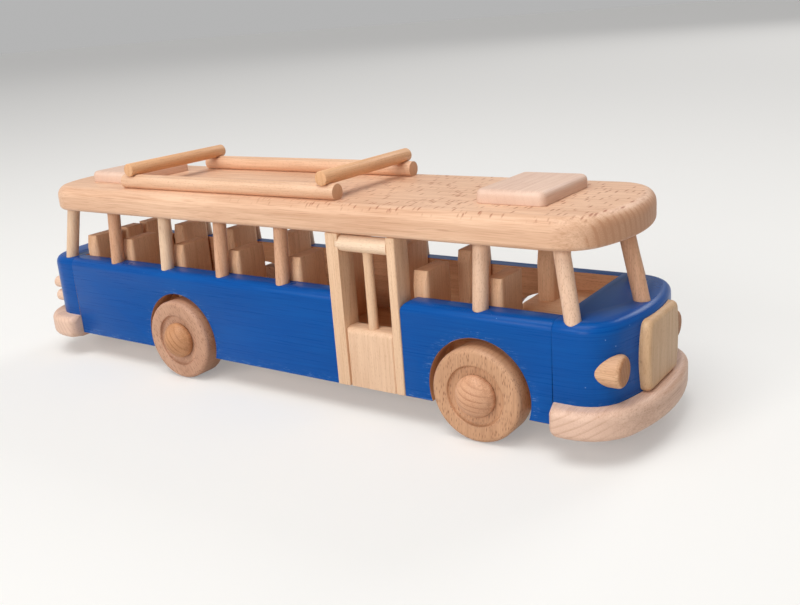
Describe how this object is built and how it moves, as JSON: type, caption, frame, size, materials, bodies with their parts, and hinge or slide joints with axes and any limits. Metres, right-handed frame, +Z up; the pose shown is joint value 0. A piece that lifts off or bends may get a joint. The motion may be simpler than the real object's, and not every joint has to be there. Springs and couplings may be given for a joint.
{
  "type": "toy bus",
  "caption": "Wooden toy bus with a painted lower body, dowel pillars, a bowed roof with hatches and a luggage rack, seat boards inside, and wheels that roll on glued pegs.",
  "frame": {"origin": "on the ground under the middle of the bus, midway between the two bumpers", "axes": "+X is the way the bus drives, +Y is the bus's left side, +Z is up"},
  "size_m": [0.44, 0.117, 0.1325],
  "materials": {
    "blue_paint": "semi-gloss water-based paint over sanded beech",
    "beech_roof": "sanded bare beech, lightly oiled",
    "beech_board": "sanded bare beech, lightly oiled",
    "beech_bumper": "sanded bare beech, lightly oiled",
    "beech_dowel": "sanded bare beech, lightly oiled",
    "beech_bar": "sanded bare beech, lightly oiled",
    "beech_lamp": "sanded bare beech, lightly oiled",
    "beech_seat": "sanded bare beech, lightly oiled",
    "beech_wheel": "sanded bare beech, lightly oiled",
    "beech_peg": "sanded bare beech, lightly oiled"
  },
  "bodies": {
    "bus": {"left_side_panel": "blue_paint", "right_rear_panel": "blue_paint", "right_front_panel": "blue_paint", "front_block": "blue_paint", "rear_block": "blue_paint", "roof_board": "beech_roof", "chassis_board": "beech_board", "door_post_rear": "beech_board", "door_post_front": "beech_board", "door_panel": "beech_board", "cab_platform": "beech_board", "front_hatch": "beech_board", "rear_hatch": "beech_board", "grille_plate": "beech_board", "front_bumper": "beech_bumper", "rear_bumper": "beech_bumper", "pillar_right_1": "beech_dowel", "pillar_right_2": "beech_dowel", "pillar_right_3": "beech_dowel", "pillar_right_4": "beech_dowel", "pillar_right_5": "beech_dowel", "pillar_left_1": "beech_dowel", "pillar_left_2": "beech_dowel", "pillar_left_3": "beech_dowel", "pillar_left_4": "beech_dowel", "pillar_left_5": "beech_dowel", "pillar_left_6": "beech_dowel", "pillar_left_7": "beech_dowel", "rear_corner_pillar_right": "beech_dowel", "rear_corner_pillar_left": "beech_dowel", "front_corner_pillar_right": "beech_dowel", "front_corner_pillar_left": "beech_dowel", "windscreen_pillar": "beech_dowel", "door_lintel": "beech_dowel", "door_mullion": "beech_dowel", "rack_rail_right": "beech_dowel", "rack_rail_left": "beech_dowel", "rack_bar_front": "beech_bar", "rack_bar_rear": "beech_bar", "headlight_right": "beech_lamp", "headlight_left": "beech_lamp", "tail_lamps": "beech_lamp", "seat_row_1": "beech_seat", "seat_row_2": "beech_seat", "seat_row_3": "beech_seat", "seat_row_4": "beech_seat", "seat_row_5": "beech_seat", "seat_row_6": "beech_seat", "seat_row_7": "beech_seat", "seat_row_8": "beech_seat", "driver_seat": "beech_seat", "axle_peg_front_right": "beech_peg", "axle_peg_front_left": "beech_peg", "axle_peg_rear_right": "beech_peg", "axle_peg_rear_left": "beech_peg"},
    "front_right_wheel": {"wheel_front_right": "beech_wheel"},
    "front_left_wheel": {"wheel_front_left": "beech_wheel"},
    "rear_right_wheel": {"wheel_rear_right": "beech_wheel"},
    "rear_left_wheel": {"wheel_rear_left": "beech_wheel"}
  },
  "joints": [
    {"name": "front_right_spin", "type": "hinge", "parent": "bus", "child": "front_right_wheel", "pos_m": [0.136, -0.0435, 0.025], "axis": [0, 1, 0], "continuous": true},
    {"name": "front_left_spin", "type": "hinge", "parent": "bus", "child": "front_left_wheel", "pos_m": [0.136, 0.0435, 0.025], "axis": [0, 1, 0], "continuous": true},
    {"name": "rear_right_spin", "type": "hinge", "parent": "bus", "child": "rear_right_wheel", "pos_m": [-0.0764, -0.0435, 0.025], "axis": [0, 1, 0], "continuous": true},
    {"name": "rear_left_spin", "type": "hinge", "parent": "bus", "child": "rear_left_wheel", "pos_m": [-0.0764, 0.0435, 0.025], "axis": [0, 1, 0], "continuous": true}
  ]
}
